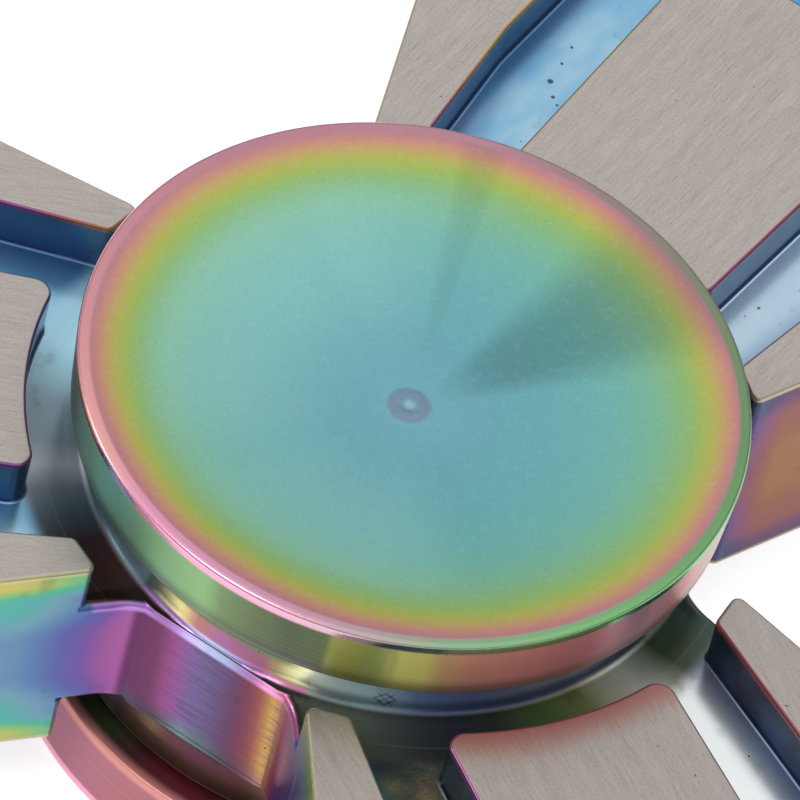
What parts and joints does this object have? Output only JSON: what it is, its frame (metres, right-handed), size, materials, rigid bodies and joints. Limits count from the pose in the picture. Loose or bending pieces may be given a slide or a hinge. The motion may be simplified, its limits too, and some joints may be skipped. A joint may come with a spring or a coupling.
{
  "type": "fidget spinner",
  "caption": "Three-armed metal finger spinner that turns on a small ball bearing between two dished finger caps.",
  "frame": {"origin": "middle of the spinner, on its spin axis", "axes": "+Z out of the top finger cap along the spin axis, +Y along the first arm"},
  "size_m": [0.0596, 0.0548, 0.014],
  "materials": {
    "plated_casting": "brushed bare metal on the flat faces, rainbow interference plating on walls and groove floors",
    "plated_cap": "satin turned face with rainbow interference plating, teal in the middle to gold and rose at the rim",
    "zinc_screw": "zinc plated",
    "ring_steel": "ground and polished",
    "cage_steel": "pressed, tumbled",
    "shield_steel": "pressed, satin",
    "spring_steel": "blued spring steel",
    "ball_steel": "mirror polished"
  },
  "bodies": {
    "hub": {"finger_cap_top": "plated_cap", "finger_cap_bottom": "plated_cap", "centre_stud": "zinc_screw", "bearing_inner_ring": "ring_steel"},
    "rotor": {"three_arm_body": "plated_casting", "bearing_outer_ring": "ring_steel", "bearing_shield_top": "shield_steel", "bearing_shield_bottom": "shield_steel", "shield_clip_top": "spring_steel", "shield_clip_bottom": "spring_steel"},
    "cage": {"ball_cage": "cage_steel"},
    "ball_1": {"ball_1": "ball_steel"},
    "ball_2": {"ball_2": "ball_steel"},
    "ball_3": {"ball_3": "ball_steel"},
    "ball_4": {"ball_4": "ball_steel"},
    "ball_5": {"ball_5": "ball_steel"},
    "ball_6": {"ball_6": "ball_steel"},
    "ball_7": {"ball_7": "ball_steel"},
    "ball_8": {"ball_8": "ball_steel"},
    "ball_9": {"ball_9": "ball_steel"},
    "ball_10": {"ball_10": "ball_steel"}
  },
  "joints": [
    {"name": "body_spin", "type": "hinge", "parent": "hub", "child": "rotor", "pos_m": [0, 0, 0], "axis": [0, 0, 1], "continuous": true},
    {"name": "cage_roll", "type": "hinge", "parent": "hub", "child": "cage", "pos_m": [0, 0, 0], "axis": [0, 0, 1], "continuous": true},
    {"name": "ball_1_roll", "type": "hinge", "parent": "cage", "child": "ball_1", "pos_m": [0.00476, 0, 0], "axis": [0, 0, 1], "continuous": true},
    {"name": "ball_2_roll", "type": "hinge", "parent": "cage", "child": "ball_2", "pos_m": [0.00385, 0.0028, 0], "axis": [0, 0, 1], "continuous": true},
    {"name": "ball_3_roll", "type": "hinge", "parent": "cage", "child": "ball_3", "pos_m": [0.00147, 0.00453, 0], "axis": [0, 0, 1], "continuous": true},
    {"name": "ball_4_roll", "type": "hinge", "parent": "cage", "child": "ball_4", "pos_m": [-0.00147, 0.00453, 0], "axis": [0, 0, 1], "continuous": true},
    {"name": "ball_5_roll", "type": "hinge", "parent": "cage", "child": "ball_5", "pos_m": [-0.00385, 0.0028, 0], "axis": [0, 0, 1], "continuous": true},
    {"name": "ball_6_roll", "type": "hinge", "parent": "cage", "child": "ball_6", "pos_m": [-0.00476, 0, 0], "axis": [0, 0, 1], "continuous": true},
    {"name": "ball_7_roll", "type": "hinge", "parent": "cage", "child": "ball_7", "pos_m": [-0.00385, -0.0028, 0], "axis": [0, 0, 1], "continuous": true},
    {"name": "ball_8_roll", "type": "hinge", "parent": "cage", "child": "ball_8", "pos_m": [-0.00147, -0.00453, 0], "axis": [0, 0, 1], "continuous": true},
    {"name": "ball_9_roll", "type": "hinge", "parent": "cage", "child": "ball_9", "pos_m": [0.00147, -0.00453, 0], "axis": [0, 0, 1], "continuous": true},
    {"name": "ball_10_roll", "type": "hinge", "parent": "cage", "child": "ball_10", "pos_m": [0.00385, -0.0028, 0], "axis": [0, 0, 1], "continuous": true}
  ],
  "couplings": [
    {"joint": "cage_roll", "follows": "body_spin", "ratio": 0.58336},
    {"joint": "ball_1_roll", "follows": "body_spin", "ratio": 2.9157},
    {"joint": "ball_2_roll", "follows": "body_spin", "ratio": 2.9157},
    {"joint": "ball_3_roll", "follows": "body_spin", "ratio": 2.9157},
    {"joint": "ball_4_roll", "follows": "body_spin", "ratio": 2.9157},
    {"joint": "ball_5_roll", "follows": "body_spin", "ratio": 2.9157},
    {"joint": "ball_6_roll", "follows": "body_spin", "ratio": 2.9157},
    {"joint": "ball_7_roll", "follows": "body_spin", "ratio": 2.9157},
    {"joint": "ball_8_roll", "follows": "body_spin", "ratio": 2.9157},
    {"joint": "ball_9_roll", "follows": "body_spin", "ratio": 2.9157},
    {"joint": "ball_10_roll", "follows": "body_spin", "ratio": 2.9157}
  ]
}
